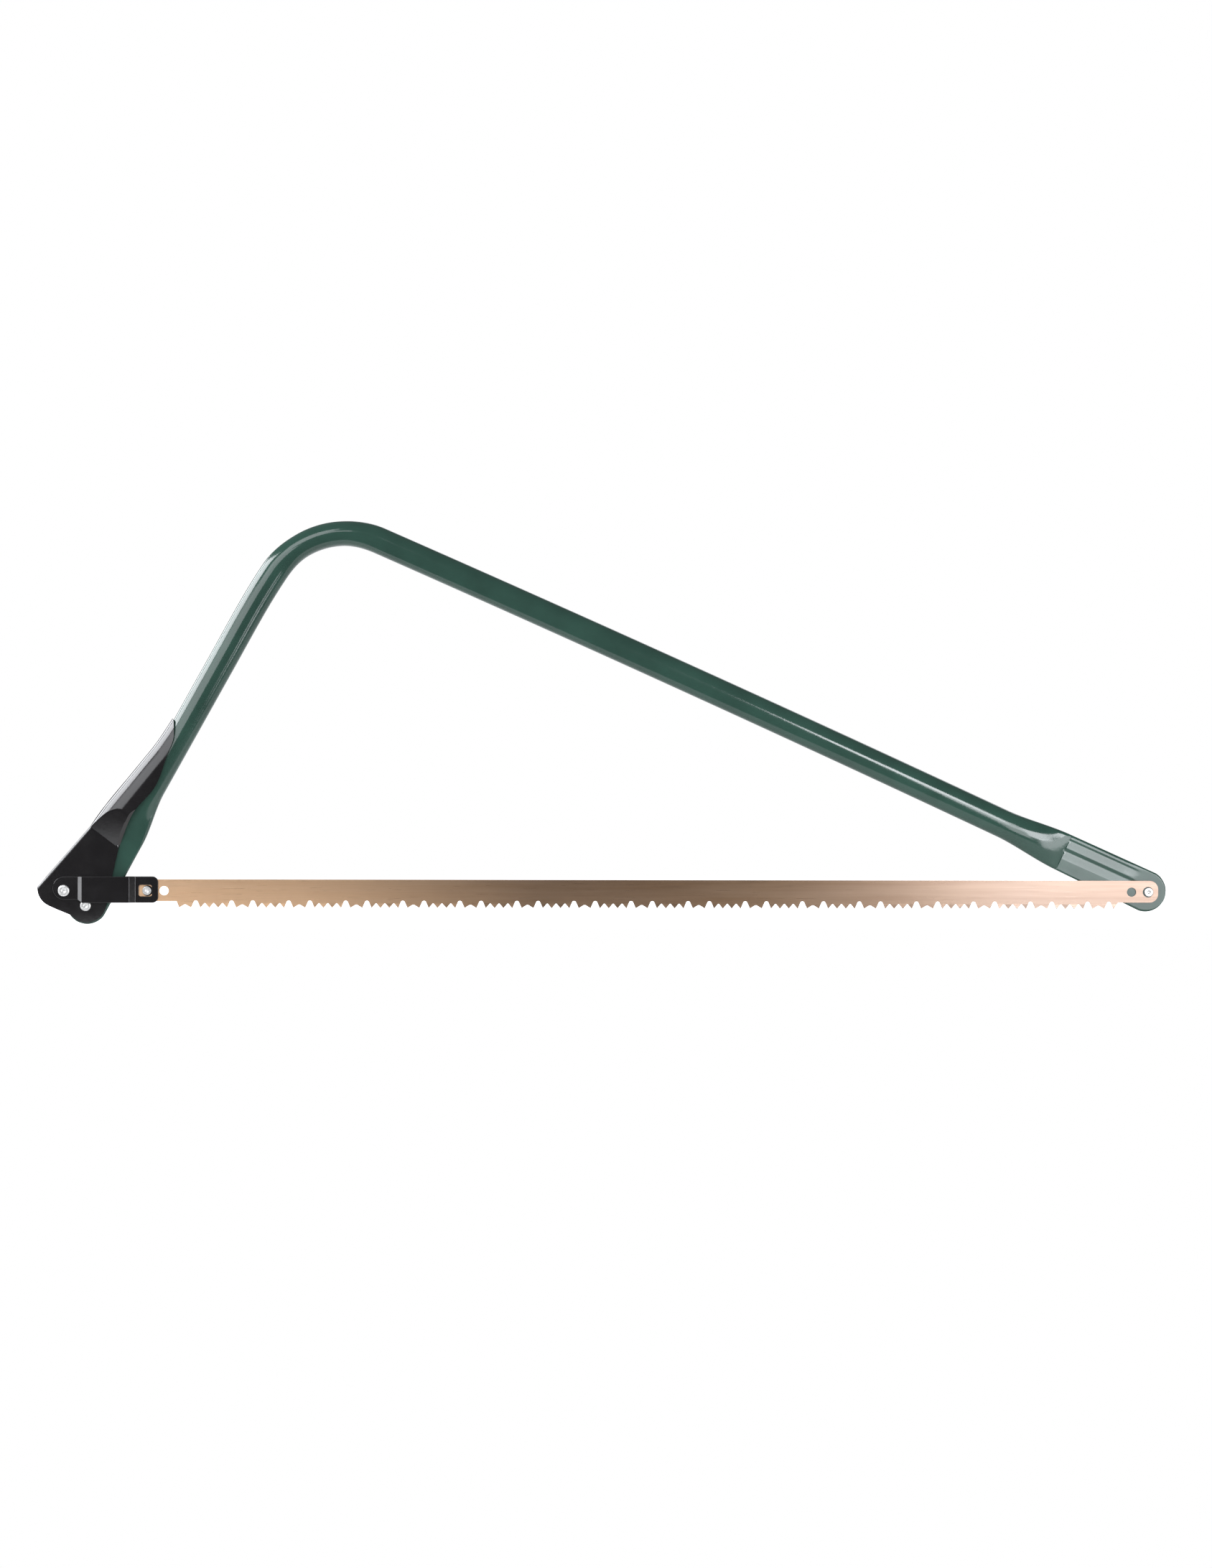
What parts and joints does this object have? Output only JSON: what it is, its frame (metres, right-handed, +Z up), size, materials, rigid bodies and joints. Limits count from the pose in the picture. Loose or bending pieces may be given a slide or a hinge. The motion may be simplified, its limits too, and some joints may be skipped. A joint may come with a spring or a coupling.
{
  "type": "bow saw",
  "caption": "Bow saw with a bent steel tube frame, a coarse toothed blade and a fold-down lever that tensions the blade through a link.",
  "frame": {"origin": "middle of the saw's length and thickness, on the plane that the heel of the frame touches", "axes": "+X from the heel and its tension lever to the nose, +Y away from the side with the round-cornered window in the link, +Z up from the teeth to the bend of the frame"},
  "size_m": [0.8564, 0.0196, 0.3056],
  "materials": {
    "frame_paint": "gloss",
    "black_paint": "gloss",
    "blade_steel": "brushed",
    "bright_steel": "satin"
  },
  "bodies": {
    "frame": {"frame_tube": "frame_paint", "nose_stud": "bright_steel"},
    "lever": {"tension_lever": "black_paint", "lever_pivot_rivet": "bright_steel", "link_rivet_spacer": "bright_steel"},
    "link": {"link_near_plate": "black_paint", "link_far_plate": "black_paint", "link_rivet": "bright_steel", "blade_pin": "bright_steel"},
    "blade": {"blade": "blade_steel"}
  },
  "joints": [
    {"name": "lever_swing", "type": "hinge", "parent": "frame", "child": "lever", "pos_m": [-0.3914, 0, 0.014], "axis": [0, -1, 0], "range_deg": [0, 100], "deforming": ["blade"]},
    {"name": "link_swing", "type": "hinge", "parent": "lever", "child": "link", "pos_m": [-0.4078, 0, 0.0254], "axis": [0, -1, 0], "range_deg": [-95, 0]},
    {"name": "blade_swing", "type": "hinge", "parent": "frame", "child": "blade", "pos_m": [0.415, 0, 0.0241], "axis": [0, -1, 0], "range_deg": [0, 2]}
  ],
  "couplings": [
    {"joint": "link_swing", "follows": "lever_swing", "ratio": -0.948},
    {"joint": "blade_swing", "follows": "lever_swing", "ratio": 0.019}
  ]
}
